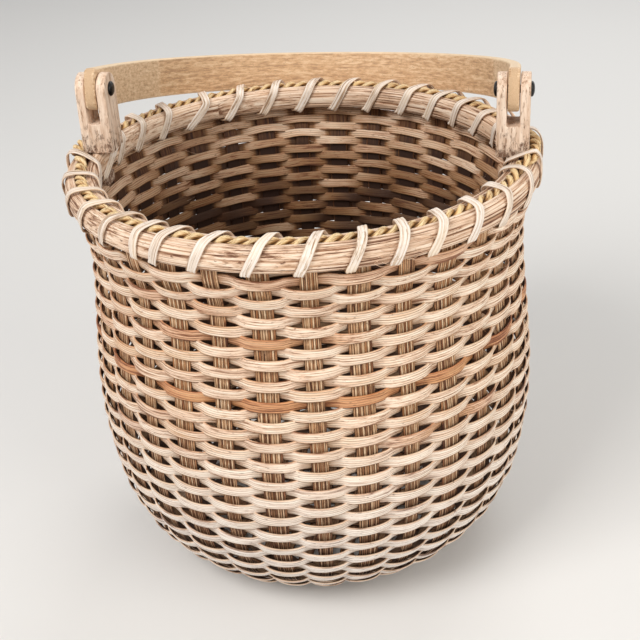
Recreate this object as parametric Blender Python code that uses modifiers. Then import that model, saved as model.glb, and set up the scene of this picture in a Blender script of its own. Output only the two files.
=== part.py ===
import math

import bmesh
import bpy
from mathutils import Matrix, Vector

# Rim
rim_radius = 0.1524
rim_height = 0.2792
band_height = 0.0162
band_thick = 0.0070
band_gap = 0.0070
band_round = 0.0022
scarf_angle = math.radians(13.0)
scarf_place = math.radians(-58.0)
scarf_tip_share = 0.25
scarf_steps = 3
seat_gap = 0.0003
stake_seat = 0.0007

# Wall, as the middle of the weave
rim_straight = 0.0190
waist_inset = 0.0051
waist_depth = 0.0480
belly_swell = 0.0020
belly_depth = 0.1525
base_radius = 0.0720
base_lift = 0.0058
corner_fullness = 2.45
waist_steps = 2
belly_steps = 3
corner_steps = 8

# Stakes
long_way_stakes = 9
cross_way_stakes = 7
stake_thick = 0.0010
wide_stake = 0.0138
narrow_stake = 0.0104
base_width_share = 0.70
mat_pitch = 0.0130
mat_clearance = 0.0003
stake_top_drop = 0.0045

# Weavers
weaver_width = 0.0061
weaver_thick = 0.0014
row_pitch = 0.00673
top_row_drop = 0.0230
weave_clearance = 0.0004
first_row_out = 0.0050
back_top_rise = 0.0022
back_crowding = 0.0150
weaver_lengths = 5
butt_gap = 0.0006

# Seagrass on the rim
rope_diameter = 0.0060
rope_steps = 64
rope_sides = 5

# Lashing
lash_width = 0.0046
lash_thick = 0.0011
lash_clearance = 0.0006

# Ears
ear_thick = 0.0204
ear_depth = 0.0210
ear_inset = 0.0010
slot_width = 0.0080
slot_floor_rise = 0.0200
tang_width = 0.0140
foot_height = 0.0075
foot_rise = 0.0032
foot_relief = 0.0014
ear_top_margin = 0.0105

# Pins
pin_rise = 0.0410
pin_diameter = 0.0050
pin_head_diameter = 0.0095
pin_head_height = 0.0022
pin_clearance = 0.0002

# Handle
handle_width = 0.0265
handle_thick = 0.0070
handle_depth = 0.1740
handle_leg = 0.0180
handle_end_past_pin = 0.0110
handle_corner = 0.0055
handle_fullness = 2.15
handle_steps = 28
handle_rest_gap = 0.0005

cut_over = 0.0020
round_sides = 12

slots = 2 * (long_way_stakes + cross_way_stakes)
slot_angle = 2 * math.pi / slots
outer_band_in = rim_radius - band_thick
inner_band_out = outer_band_in - band_gap
inner_band_in = inner_band_out - band_thick
band_bottom = rim_height - band_height
wall_top_radius = outer_band_in - stake_seat - stake_thick / 2
waist_radius = wall_top_radius - waist_inset
belly_radius = wall_top_radius + belly_swell
rope_radius = (outer_band_in + inner_band_out) / 2
rope_height = rim_height - stake_top_drop + seat_gap + rope_diameter / 2
ear_outside = outer_band_in - ear_inset
ear_inside = ear_outside - ear_thick
ear_middle = ear_outside - ear_thick / 2
pin_height = rim_height + pin_rise


def smooth_share(share):
    share = min(max(share, 0.0), 1.0)
    return share * share * (3 - 2 * share)


def wall_outline():
    # Points (radius, height) down the middle of the weave, from the rim to the flat ring of the base
    points = [Vector((wall_top_radius, rim_height))]
    belly_height = rim_height - belly_depth
    reaches = ((rim_straight, wall_top_radius, waist_depth, waist_radius, waist_steps),
               (waist_depth, waist_radius, belly_depth, belly_radius, belly_steps))
    for depth, radius, depth_after, radius_after, steps in reaches:
        for step in range(steps):
            share = smooth_share(step / steps)
            points.append(Vector((radius + (radius_after - radius) * share,
                                  rim_height - depth - (depth_after - depth) * step / steps)))
    points.append(Vector((belly_radius, belly_height)))
    for step in range(1, corner_steps + 1):
        turn = math.pi / 2 * step / corner_steps
        radius = base_radius + (belly_radius - base_radius) * math.cos(turn) ** (2 / corner_fullness)
        drop = (belly_height - base_lift) * math.sin(turn) ** (2 / corner_fullness)
        points.append(Vector((max(radius, base_radius), belly_height - drop)))
    return points


wall_points = wall_outline()
wall_marks = [0.0]
for one, two in zip(wall_points, wall_points[1:]):
    wall_marks.append(wall_marks[-1] + (two - one).length)
wall_length = wall_marks[-1]


def wall_normal(index):
    # Outward normal at a point of the outline, in the (radius, height) plane
    before = wall_points[max(index - 1, 0)]
    after = wall_points[min(index + 1, len(wall_points) - 1)]
    down = (after - before).normalized()
    return Vector((-down.y, down.x))


def wall_at(mark):
    # Middle point and outward normal at a distance down the wall from the top of the rim
    index = 0
    while index < len(wall_marks) - 2 and wall_marks[index + 1] < mark:
        index += 1
    share = (mark - wall_marks[index]) / (wall_marks[index + 1] - wall_marks[index])
    point = wall_points[index].lerp(wall_points[index + 1], share)
    normal = wall_normal(index).lerp(wall_normal(index + 1), min(max(share, 0.0), 1.0))
    return point, normal.normalized()


def around(radius, angle, height):
    return Vector((radius * math.cos(angle), radius * math.sin(angle), height))


def outward(normal, angle):
    return Vector((normal.x * math.cos(angle), normal.x * math.sin(angle), normal.y))


def make_material(name, colour, roughness, metallic=0.0):
    material = bpy.data.materials.new(name)
    material.use_nodes = True
    shader = material.node_tree.nodes["Principled BSDF"]
    shader.inputs["Base Color"].default_value = (*colour, 1.0)
    shader.inputs["Roughness"].default_value = roughness
    shader.inputs["Metallic"].default_value = metallic
    material.diffuse_color = (*colour, 1.0)
    return material


def add_object(name, mesh, collection, material=None):
    thing = bpy.data.objects.new(name, mesh)
    collection.objects.link(thing)
    if material:
        mesh.materials.append(material)
    return thing


def loft(name, rings, collection, material, closed=False):
    # Skin over a row of like sections, capped at both ends unless it closes on itself
    bm = bmesh.new()
    rows = [[bm.verts.new(point) for point in ring] for ring in rings]
    count = len(rows[0])
    pairs = list(zip(rows, rows[1:]))
    if closed:
        pairs.append((rows[-1], rows[0]))
    for row, following in pairs:
        for place in range(count):
            beside = (place + 1) % count
            bm.faces.new((row[place], row[beside], following[beside], following[place]))
    if not closed:
        bm.faces.new(rows[0])
        bm.faces.new(rows[-1])
    bmesh.ops.recalc_face_normals(bm, faces=bm.faces)
    mesh = bpy.data.meshes.new(name)
    bm.to_mesh(mesh)
    bm.free()
    return add_object(name, mesh, collection, material)


def stake_width_at(full_width, mark):
    # Reed is shaved narrower round the corner so that it fits the base
    start = wall_marks[1 + waist_steps + belly_steps]
    share = smooth_share((mark - start) / (wall_length - start))
    return full_width * (1 - share * (1 - base_width_share))


def stake_section(middle, across, normal, width):
    # Flat outer face and a low ridge inside
    return [middle - across * width / 2 + normal * stake_thick / 2,
            middle + across * width / 2 + normal * stake_thick / 2,
            middle - normal * stake_thick / 2]


def stake_wall(angle, full_width):
    # Sections from the rim down to the base ring
    across = Vector((-math.sin(angle), math.cos(angle), 0.0))
    sections = []
    for index, (point, mark) in enumerate(zip(wall_points, wall_marks)):
        height = point.y
        if index == 0:
            height -= stake_top_drop
        middle = around(point.x, angle, height)
        normal = outward(wall_normal(index) if index else Vector((1.0, 0.0)), angle)
        sections.append(stake_section(middle, across, normal, stake_width_at(full_width, mark)))
    return sections


def mat_stake(place, count, others, along, full_width, full_widths, flip, angles):
    # Sections of one stake from rim to rim through the woven mat
    mat_height = stake_thick + mat_clearance / 2
    lift = (stake_thick + mat_clearance) / 2
    offset = (place - (count - 1) / 2) * mat_pitch
    across = Vector((-along.y, along.x, 0.0))
    width = full_width * base_width_share
    middle_sections = []
    for other in range(others):
        reach = (other - (others - 1) / 2) * mat_pitch
        half = full_widths[other] * base_width_share / 2 + mat_clearance
        over = 1 if (place + other + flip) % 2 == 0 else -1
        for side in (-1, 1):
            middle = across * offset + along * (reach + side * half)
            middle.z = mat_height + over * lift
            middle_sections.append(stake_section(middle, across, Vector((0, 0, -1)), width))
    start = stake_wall(angles[0], full_width)
    end = stake_wall(angles[1], full_width)
    end.reverse()
    sections = start + fix_turn(start[-1], middle_sections)
    return sections + fix_turn(sections[-1], end)


def fix_turn(last, sections):
    # Keeps the sections' corners in the same order as the stretch before them
    edge = last[1] - last[0]
    if edge.dot(sections[0][1] - sections[0][0]) < 0:
        return [[section[1], section[0], section[2]] for section in sections]
    return sections


def make_stakes(collection, material):
    long_widths = [wide_stake if place % 2 == 0 else narrow_stake for place in range(long_way_stakes)]
    cross_widths = [narrow_stake if place % 2 == 0 else wide_stake for place in range(cross_way_stakes)]
    for place in range(long_way_stakes):
        turn = (place - (long_way_stakes - 1) / 2) * slot_angle
        angles = (-math.pi / 2 + turn, math.pi / 2 - turn)
        sections = mat_stake(long_way_stakes - 1 - place, long_way_stakes, cross_way_stakes,
                             Vector((0, 1, 0)), long_widths[place], cross_widths, 0, angles)
        loft(f"front_stake_{place + 1}", sections, collection, material)
    for place in range(cross_way_stakes):
        turn = (place - (cross_way_stakes - 1) / 2) * slot_angle
        angles = (math.pi - turn, turn)
        sections = mat_stake(place, cross_way_stakes, long_way_stakes,
                             Vector((1, 0, 0)), cross_widths[place], long_widths, 1, angles)
        loft(f"side_stake_{place + 1}", sections, collection, material)


def weave_swing(radius, normal, mark, out_on_even):
    # How far a weaver stands out over the stakes in front, and in behind the others, so that its
    # straight runs clear the corners of both; stakes on even slots are the wide ones
    widths = (wide_stake, narrow_stake) if out_on_even else (narrow_stake, wide_stake)
    over, behind = (stake_width_at(width, mark) / 2 / (radius * math.sin(slot_angle)) for width in widths)
    bow = radius * (1 - math.cos(slot_angle)) * normal.x
    need = (stake_thick + weaver_thick) / 2 + weave_clearance
    swing = (2 * need + (over - behind) * bow) / (1 - over - behind)
    return need + over * (swing + bow), need + behind * (swing - bow)


def row_mark(station, lag):
    # Distance down the wall, and the share of the full row width that fits there: the rows
    # were beaten up closer under the rim at the back than in front
    mark = top_row_drop + 2 * row_pitch * station / slots - lag
    back = (1 + math.sin((top_slot - station) * slot_angle)) / 2
    depth = wall_length - top_row_drop
    share = (mark - top_row_drop) / depth
    rise = back_top_rise * (1 - share) + 4 * back_crowding * share * (1 - share)
    closer = (4 * back_crowding * (1 - 2 * share) - back_top_rise) / depth
    return mark - back * rise, 1 - back * max(closer, 0.0)


def weaver_section(station, out_on_even, nudge):
    # Flat back and a low crown on the outside
    mark, width_share = row_mark(station, 0.0 if out_on_even else row_pitch)
    width = weaver_width * width_share
    index = top_slot - station
    angle = index * slot_angle + nudge
    point, normal = wall_at(mark)
    out, inner = weave_swing(point.x, normal, mark, out_on_even)
    outside = (index % 2 == 0) == out_on_even
    shift = out if outside else -inner
    normal3 = outward(normal, angle)
    up = outward(Vector((-normal.y, normal.x)), angle)
    middle = around(point.x, angle, point.y) + normal3 * shift
    return [middle - up * width / 2 - normal3 * weaver_thick / 2,
            middle + up * width / 2 - normal3 * weaver_thick / 2,
            middle + normal3 * weaver_thick / 2]


top_slot = 3 * slots // 4 + 3


def make_weavers(collection, material):
    # Two weavers chase each other down the wall, each pieced from several lengths of reed
    last_mark = wall_length - first_row_out
    for name, first, out_on_even, lag in (("weaver_a", 0, True, 0.0),
                                          ("weaver_b", slots // 2 + 1, False, row_pitch)):
        last = int((last_mark - top_row_drop + lag) * slots / (2 * row_pitch))
        pairs_each = (last - first) // 2 // weaver_lengths
        begin = first
        for piece in range(weaver_lengths):
            stop = begin + 2 * pairs_each if piece < weaver_lengths - 1 else last
            point, _ = wall_at(row_mark(stop, lag)[0])
            nudge = butt_gap / 2 / point.x
            rings = []
            for station in range(begin, stop + 1):
                shift = -nudge if station == begin else nudge if station == stop else 0.0
                rings.append(weaver_section(station, out_on_even, shift))
            loft(f"{name}_{piece + 1}", rings, collection, material)
            begin = stop


def band_section(inner, outer, round_out, angle):
    middle = band_bottom + band_height / 2
    round_off = min(band_round, (outer - inner) / 2)
    flat, crown = (inner, outer) if round_out else (outer, inner)
    shoulder = crown - round_off if round_out else crown + round_off
    half = band_height / 2
    outline = [(flat, -half), (flat, half), (shoulder, half), (crown, half - band_round),
               (crown, band_round - half), (shoulder, -half)]
    return [around(radius, angle, middle + height) for radius, height in outline]


def make_band(name, inner, outer, round_out, place, collection, material):
    # A bent strip whose thinned ends lap each other in a scarf
    steps = 3 * slots // 2
    thick = outer - inner
    start = place - scarf_angle / 2
    sweep = 2 * math.pi + scarf_angle
    scarf_marks = [scarf_angle * step / scarf_steps for step in range(scarf_steps + 1)]
    step_angle = 2 * seat_gap / outer
    plain = sweep - 2 * (scarf_angle + step_angle)
    rings = []
    for mark in scarf_marks:
        share = scarf_tip_share + (1 - 2 * scarf_tip_share) * mark / scarf_angle
        rings.append(band_section(inner, inner + thick * share - seat_gap, round_out, start + mark))
    for step in range(steps + 1):
        mark = scarf_angle + step_angle + plain * step / steps
        rings.append(band_section(inner, outer, round_out, start + mark))
    for mark in scarf_marks:
        share = scarf_tip_share + (1 - 2 * scarf_tip_share) * mark / scarf_angle
        rings.append(band_section(inner + thick * share, outer, round_out,
                                  start + sweep - scarf_angle + mark))
    return loft(name, rings, collection, material)


def rope_place(angle):
    # The seagrass lies in the groove between the bands and steps out round each ear
    near = abs(math.remainder(angle, math.pi)) * rim_radius
    approach = (near - (ear_depth + rope_diameter) / 2) / ear_depth
    out_radius = math.hypot(ear_outside + seat_gap + rope_diameter / 2, ear_depth / 2)
    out_radius /= math.cos(math.pi / rope_steps)
    radius = rope_radius + (out_radius - rope_radius) * (1 - smooth_share(approach))
    # It rises out of the groove first, then crosses over the outer band's edge
    lift = rope_diameter / 2 + 3 * seat_gap
    beside = max(outer_band_in - radius, 0.0)
    riding = rim_height + math.sqrt(max(lift ** 2 - beside ** 2, 0.0))
    return radius, rope_height + (riding - rope_height) * (1 - smooth_share(approach - 1))


def make_rope(collection, material):
    rings = []
    for step in range(rope_steps):
        angle = 2 * math.pi * step / rope_steps
        radius, height = rope_place(angle)
        ring = []
        for side in range(rope_sides):
            turn = 2 * math.pi * side / rope_sides
            ring.append(around(radius + rope_diameter / 2 * math.cos(turn), angle,
                               height + rope_diameter / 2 * math.sin(turn)))
        rings.append(ring)
    return loft("rim_seagrass", rings, collection, material, closed=True)


def lash_path():
    # One wrap per gap between stakes: up the outer band, over the seagrass, down the inner band
    # and out again under both bands
    half = lash_thick / 2 + lash_clearance
    outside = rim_radius + half
    inside = inner_band_in - half
    under = band_bottom - half
    crest = rope_diameter / 2 + half
    slope = crest * math.sqrt(0.5)
    steps = []
    for wrap in range(slots):
        start = (wrap + 0.5) * slot_angle
        at_ear = (wrap + 1) % (slots // 2) == 0
        way = ear_advance_shares if at_ear else advance_shares
        for kind, share in enumerate(way):
            angle = start + share * slot_angle
            radius, height = rope_place(angle)
            places = ((outside, under + half, 1, 0),
                      (outside, rim_height - band_round + height - rope_height, 1, 0),
                      (max(radius + slope, rim_radius - band_round), height + slope, 1, 1),
                      (radius, height + crest, 0, 1),
                      (inner_band_in + band_round, rope_height + slope, -1, 1),
                      (inside, rim_height - band_round / 2, -1, 0),
                      (inside, under + half, -1, 0),
                      (inside + band_round, under, 0, -1),
                      (outside - band_round, under, 0, -1))
            radius, height, facing_out, facing_up = places[kind]
            facing = outward(Vector((facing_out, facing_up)).normalized(), angle)
            steps.append((around(radius, angle, height), facing))
    return steps


advance_shares = (0.0, 0.28, 0.34, 0.50, 0.66, 0.72, 1.0, 1.0, 1.0)
ear_advance_shares = (0.0, -0.08, -0.08, -0.08, -0.08, -0.08, 1.0, 1.0, 1.0)


def make_lashing(collection, material):
    steps = lash_path()
    rings = []
    for index, (point, facing) in enumerate(steps):
        before = steps[max(index - 1, 0)][0]
        after = steps[min(index + 1, len(steps) - 1)][0]
        across = (after - before).cross(facing).normalized()
        rings.append([point - across * lash_width / 2 - facing * lash_thick / 2,
                      point + across * lash_width / 2 - facing * lash_thick / 2,
                      point + facing * lash_thick / 2])
    return loft("rim_lashing", rings, collection, material)


def prism(name, outline, thickness, collection):
    # A flat outline in XY, thickened evenly to both sides
    curve = bpy.data.curves.new(name, "CURVE")
    curve.dimensions = "2D"
    curve.fill_mode = "BOTH"
    curve.extrude = thickness / 2
    spline = curve.splines.new("POLY")
    spline.points.add(len(outline) - 1)
    for point, place in zip(spline.points, outline):
        point.co = (place[0], place[1], 0.0, 1.0)
    spline.use_cyclic_u = True
    thing = bpy.data.objects.new(name, curve)
    collection.objects.link(thing)
    return thing


def to_mesh(thing, weld=0.00001):
    bpy.context.view_layer.update()
    graph = bpy.context.evaluated_depsgraph_get()
    mesh = bpy.data.meshes.new_from_object(thing.evaluated_get(graph))
    bm = bmesh.new()
    bm.from_mesh(mesh)
    bmesh.ops.remove_doubles(bm, verts=bm.verts, dist=weld)
    bmesh.ops.transform(bm, matrix=thing.matrix_world, verts=bm.verts)
    bmesh.ops.recalc_face_normals(bm, faces=bm.faces)
    bm.to_mesh(mesh)
    bm.free()
    name = thing.name
    homes = list(thing.users_collection)
    bpy.data.objects.remove(thing)
    solid = bpy.data.objects.new(name, mesh)
    for home in homes:
        home.objects.link(solid)
    return solid


def make_cutter(thing):
    thing.hide_render = True
    thing.display_type = "WIRE"
    return thing


def cut(thing, cutter, operation="DIFFERENCE"):
    modifier = thing.modifiers.new(cutter.name, "BOOLEAN")
    modifier.operation = operation
    modifier.object = make_cutter(cutter)


def cross_pin_cutter(name, middle, length, diameter, collection):
    mesh = bpy.data.meshes.new(name)
    bm = bmesh.new()
    turn = Matrix.Translation(middle) @ Matrix.Rotation(math.pi / 2, 4, "Y")
    bmesh.ops.create_cone(bm, cap_ends=True, segments=round_sides, radius1=diameter / 2,
                          radius2=diameter / 2, depth=length, matrix=turn)
    bm.to_mesh(mesh)
    bm.free()
    return add_object(name, mesh, collection)


def ear_profile():
    # Outline seen along the rim (distance from the basket's middle, height)
    shoulder = rim_height + seat_gap
    tang_in = inner_band_out + seat_gap
    tang_out = wall_top_radius - stake_thick / 2 - seat_gap
    foot_top = band_bottom - seat_gap
    tang_bottom = band_bottom - foot_rise
    foot_bottom = foot_top - foot_height
    foot_out = tang_in - foot_relief
    top = pin_height + ear_top_margin
    slot_in = ear_middle - slot_width / 2
    slot_out = ear_middle + slot_width / 2
    floor = rim_height + slot_floor_rise
    return [(ear_inside, shoulder), (tang_in, shoulder), (tang_in, foot_top),
            (inner_band_in, foot_top), (inner_band_in, foot_bottom), (foot_out, foot_bottom),
            (foot_out, tang_bottom), (tang_out, tang_bottom), (tang_out, shoulder),
            (ear_outside, shoulder), (ear_outside, top), (slot_out, top), (slot_out, floor),
            (slot_in, floor), (slot_in, top), (ear_inside, top)]


def ear_face():
    # Outline seen from the middle of the basket (along the rim, height): round top, narrow tang
    shoulder = rim_height
    bottom = band_bottom - foot_height - cut_over
    half = ear_depth / 2
    outline = [(half, shoulder), (half, pin_height)]
    for step in range(1, 12):
        turn = math.pi * step / 12
        outline.append((half * math.cos(turn), pin_height + ear_top_margin * math.sin(turn)))
    outline += [(-half, pin_height), (-half, shoulder), (-tang_width / 2, shoulder),
                (-tang_width / 2, bottom), (tang_width / 2, bottom), (tang_width / 2, shoulder)]
    return outline


def make_ear(name, side, collection, cutters, material):
    profile = [(side * along, height) for along, height in ear_profile()]
    body = prism(name, profile, ear_depth + cut_over, collection)
    body.rotation_euler = (math.pi / 2, 0.0, 0.0)
    body = to_mesh(body)
    body.data.materials.append(material)
    face = prism(name + "_face", ear_face(), ear_thick + 2 * cut_over, cutters)
    face.rotation_euler = (math.pi / 2, 0.0, math.pi / 2)
    face.location.x = side * ear_middle
    cut(body, to_mesh(face), "INTERSECT")
    bore = cross_pin_cutter(name + "_bore", Vector((side * ear_middle, 0.0, pin_height)),
                            ear_thick + 2 * cut_over, pin_diameter + 2 * pin_clearance, cutters)
    cut(body, bore)
    return body


def make_pin(name, side, collection, material):
    # A bolt with a domed head at each end, turned round its own length
    half = ear_thick / 2 + seat_gap
    head = pin_head_diameter / 2
    profile = [(0.0, half + pin_head_height)]
    for step in range(1, 4):
        turn = math.pi / 2 * step / 3
        profile.append((head * math.sin(turn), half + pin_head_height * math.cos(turn)))
    profile += [(pin_diameter / 2, half), (pin_diameter / 2, -half)]
    for step in range(3, 0, -1):
        turn = math.pi / 2 * step / 3
        profile.append((head * math.sin(turn), -half - pin_head_height * math.cos(turn)))
    profile.append((0.0, -half - pin_head_height))
    bm = bmesh.new()
    verts = [bm.verts.new((radius, 0.0, height)) for radius, height in profile]
    for one, two in zip(verts, verts[1:]):
        bm.edges.new((one, two))
    mesh = bpy.data.meshes.new(name)
    bm.to_mesh(mesh)
    bm.free()
    pin = add_object(name, mesh, collection, material)
    screw = pin.modifiers.new("turn", "SCREW")
    screw.steps = round_sides
    screw.render_steps = round_sides
    screw.use_merge_vertices = True
    screw.merge_threshold = 0.00001
    pin.location = (side * ear_middle, 0.0, pin_height)
    pin.rotation_euler = (0.0, math.pi / 2, 0.0)
    return pin


def handle_path():
    # Places (across, out from the pins) along the middle of the bail
    half = ear_middle
    places = [(half, -handle_end_past_pin), (half, 0.0), (half, handle_leg)]
    rise = handle_depth - handle_leg
    for step in range(1, handle_steps):
        turn = math.pi * step / handle_steps
        across = math.copysign(half * abs(math.cos(turn)) ** (2 / handle_fullness), math.cos(turn))
        places.append((across, handle_leg + rise * math.sin(turn) ** (2 / handle_fullness)))
    places += [(-across, out) for across, out in reversed(places[:3])]
    return places


def handle_rest_tilt():
    # The bail drops behind the basket until its lower edge lies on the lashing
    half = lash_thick + lash_clearance + handle_rest_gap
    crest = rope_height + rope_diameter / 2 + half
    tilt_degrees = 0.0
    while tilt_degrees < 45.0:
        tilt = math.radians(tilt_degrees + 0.25)
        for across, out in handle_path():
            if out <= handle_leg:
                continue
            back = out * math.cos(tilt) - handle_width / 2 * math.sin(tilt)
            height = pin_height - out * math.sin(tilt) - handle_width / 2 * math.cos(tilt)
            radius = math.hypot(across, back) - handle_thick / 2
            share = (rim_radius + half - radius) / (rim_radius - rope_radius)
            if share > 0 and height < rim_height + (crest - rim_height) * min(share, 1.0):
                return math.radians(tilt_degrees)
        tilt_degrees += 0.25
    return math.radians(tilt_degrees)


def make_handle(collection, cutters, material):
    # Flat bent strip, drawn lying along +Y and then let down by its rest tilt round the pins
    places = handle_path()
    rings = []
    for index, (across, out) in enumerate(places):
        before = Vector(places[max(index - 1, 0)])
        after = Vector(places[min(index + 1, len(places) - 1)])
        along = (after - before).normalized()
        side = Vector((along.y, -along.x)) * handle_thick / 2
        low = -handle_width / 2
        high = handle_width / 2
        rings.append([Vector((across + side.x, out + side.y, low)),
                      Vector((across - side.x, out - side.y, low)),
                      Vector((across - side.x, out - side.y, high)),
                      Vector((across + side.x, out + side.y, high))])
    handle = loft("handle", rings, collection, material)
    bevel = handle.modifiers.new("end_corners", "BEVEL")
    bevel.width = handle_corner
    bevel.segments = 4
    bevel.limit_method = "WEIGHT"
    weights = handle.data.attributes.new("bevel_weight_edge", "FLOAT", "EDGE")
    tip = -handle_end_past_pin
    for edge in handle.data.edges:
        ends = [handle.data.vertices[corner].co for corner in edge.vertices]
        at_tip = all(abs(end.y - tip) < seat_gap for end in ends)
        level = abs(ends[0].z - ends[1].z) < seat_gap
        weights.data[edge.index].value = 1.0 if at_tip and level else 0.0
    bore = cross_pin_cutter("handle_bore", Vector((0.0, 0.0, 0.0)), 2 * ear_outside,
                            pin_diameter + 4 * pin_clearance, cutters)
    cut(handle, bore)
    for thing in (handle, bore):
        thing.location = (0.0, 0.0, pin_height)
        thing.rotation_euler = (-handle_rest_tilt(), 0.0, 0.0)
    return handle


def main():
    for thing in list(bpy.data.objects):
        bpy.data.objects.remove(thing)
    basket = bpy.data.collections.new("french_market_basket")
    cutters = bpy.data.collections.new("cutters")
    for collection in (basket, cutters):
        bpy.context.scene.collection.children.link(collection)
    stake_reed = make_material("stake_reed", (0.36, 0.21, 0.10), 0.75)
    weaver_reed = make_material("weaver_reed", (0.66, 0.50, 0.34), 0.65)
    band_reed = make_material("band_reed", (0.60, 0.43, 0.28), 0.65)
    seagrass = make_material("seagrass", (0.62, 0.44, 0.20), 0.70)
    lash_reed = make_material("lash_reed", (0.76, 0.63, 0.45), 0.60)
    ear_wood = make_material("ear_wood", (0.64, 0.47, 0.36), 0.70)
    handle_wood = make_material("handle_wood", (0.58, 0.38, 0.21), 0.60)
    black_pin = make_material("black_pin", (0.02, 0.02, 0.02), 0.35, 1.0)

    make_stakes(basket, stake_reed)
    make_weavers(basket, weaver_reed)
    make_band("outer_rim_band", outer_band_in, rim_radius, True, scarf_place, basket, band_reed)
    make_band("inner_rim_band", inner_band_in, inner_band_out, False, scarf_place + math.pi,
              basket, band_reed)
    make_rope(basket, seagrass)
    make_lashing(basket, lash_reed)
    for name, side in (("left", -1), ("right", 1)):
        make_ear(name + "_ear", side, basket, cutters, ear_wood)
        make_pin(name + "_pin", side, basket, black_pin)
    make_handle(basket, cutters, handle_wood)


main()
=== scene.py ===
import bisect
import random
from math import atan2, copysign, cos, degrees, dist, exp, hypot, pi, radians, remainder, sin, sqrt, tan

import bmesh
import bpy
from mathutils import Matrix, Vector, noise


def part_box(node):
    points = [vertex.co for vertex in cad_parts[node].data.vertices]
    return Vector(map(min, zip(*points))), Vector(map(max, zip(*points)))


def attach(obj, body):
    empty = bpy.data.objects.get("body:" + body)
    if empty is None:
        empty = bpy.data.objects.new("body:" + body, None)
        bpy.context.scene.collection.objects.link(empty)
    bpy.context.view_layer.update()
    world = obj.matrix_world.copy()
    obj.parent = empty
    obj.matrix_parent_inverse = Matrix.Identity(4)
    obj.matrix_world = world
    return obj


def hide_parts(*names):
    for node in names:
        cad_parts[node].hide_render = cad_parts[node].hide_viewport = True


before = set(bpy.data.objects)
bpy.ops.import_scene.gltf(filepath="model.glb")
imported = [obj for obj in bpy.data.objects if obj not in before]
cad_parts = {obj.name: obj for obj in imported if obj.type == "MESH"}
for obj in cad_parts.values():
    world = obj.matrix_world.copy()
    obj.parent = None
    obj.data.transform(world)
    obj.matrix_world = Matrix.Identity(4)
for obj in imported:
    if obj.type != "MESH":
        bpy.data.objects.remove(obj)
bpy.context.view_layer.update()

print("frame loaded")

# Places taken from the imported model, in metres as everywhere here
outerLow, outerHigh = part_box("outer_rim_band")
earLow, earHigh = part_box("right_ear")
pinLow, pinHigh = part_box("right_pin")
rimRadius = outerHigh[0]
rimTop = outerHigh[2]
bandBottom = outerLow[2]
bandThick = 0.0070
outerBandIn = rimRadius - bandThick
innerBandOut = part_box("inner_rim_band")[1][0]
innerBandIn = innerBandOut - bandThick
pinHeight = (pinLow[2] + pinHigh[2]) / 2
earMiddle = (earLow[0] + earHigh[0]) / 2
earDepth = earHigh[1] - earLow[1]
clearance = 0.0003

# Depths are below the rim's top, radii to the middle of the weave
wall = {
    "slots": 32, "topRadius": outerBandIn - 0.0012, "straight": 0.0190,
    "waistRadius": outerBandIn - 0.0063, "waistDepth": 0.0480, "waistSteps": 2,
    "bellyRadius": outerBandIn + 0.0008, "bellyDepth": 0.1525, "bellySteps": 3,
    "baseRadius": 0.0720, "baseLift": 0.0058, "fullness": 2.45, "cornerSteps": 8, "finer": 6,
}
slots = wall["slots"]
slotAngle = 2 * pi / slots


# Shapes

def smoothShare(share):
    share = min(max(share, 0.0), 1.0)
    return share * share * (3 - 2 * share)


def bulged(value, power):
    # Raised to a power, with its sign kept
    return copysign(abs(value) ** power, value)


def wallOutline(finer):
    # (radius, height) down the middle of the weave, from the rim to the ring of the base
    points = [(wall["topRadius"], rimTop)]
    reaches = ((wall["straight"], wall["topRadius"], wall["waistDepth"], wall["waistRadius"],
                wall["waistSteps"]),
               (wall["waistDepth"], wall["waistRadius"], wall["bellyDepth"], wall["bellyRadius"],
                wall["bellySteps"]))
    for depth, radius, depthAfter, radiusAfter, steps in reaches:
        for step in range(steps * finer):
            share = step / (steps * finer)
            points.append((radius + (radiusAfter - radius) * smoothShare(share),
                           rimTop - depth - (depthAfter - depth) * share))
    bellyHeight = rimTop - wall["bellyDepth"]
    points.append((wall["bellyRadius"], bellyHeight))
    corner = wall["cornerSteps"] * finer
    power = 2 / wall["fullness"]
    for step in range(1, corner + 1):
        turn = pi / 2 * step / corner
        reach = (wall["bellyRadius"] - wall["baseRadius"]) * max(cos(turn), 0.0) ** power
        drop = (bellyHeight - wall["baseLift"]) * sin(turn) ** power
        points.append((wall["baseRadius"] + reach, bellyHeight - drop))
    return points


def lengthsAlong(points):
    marks = [0.0]
    for one, two in zip(points, points[1:]):
        marks.append(marks[-1] + dist(one, two))
    return marks


wallLength = lengthsAlong(wallOutline(1))[-1]     # as the frame measures it
wallPoints = wallOutline(wall["finer"])
fineMarks = lengthsAlong(wallPoints)
wallMarks = [mark * wallLength / fineMarks[-1] for mark in fineMarks]
bellyMark = wallMarks[1 + (wall["waistSteps"] + wall["bellySteps"]) * wall["finer"]]


def wallAt(mark):
    # Radius, height and outward normal (radial, up) at a distance down the wall
    place = min(max(bisect.bisect_right(wallMarks, mark) - 1, 0), len(wallMarks) - 2)
    share = (mark - wallMarks[place]) / (wallMarks[place + 1] - wallMarks[place])
    one, two = wallPoints[place], wallPoints[place + 1]
    before = wallPoints[max(place - 1, 0)]
    after = wallPoints[min(place + 2, len(wallPoints) - 1)]
    radius = one[0] + (two[0] - one[0]) * share
    height = one[1] + (two[1] - one[1]) * share
    down = Vector((after[0] - before[0], after[1] - before[1])).normalized()
    return radius, height, -down.y, down.x


def around(radius, angle, height):
    return Vector((radius * cos(angle), radius * sin(angle), height))


def fuzz(place, seed):
    # Smooth noise from -1 to 1 along a line
    return noise.noise(Vector((place, seed * 7.31, 0.37)))


def placed(name, data):
    made = bpy.data.objects.new(name, data)
    bpy.context.scene.collection.objects.link(made)
    return made


def fromBmesh(name, bm):
    mesh = bpy.data.meshes.new(name)
    bm.to_mesh(mesh)
    bm.free()
    return placed(name, mesh)


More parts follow.
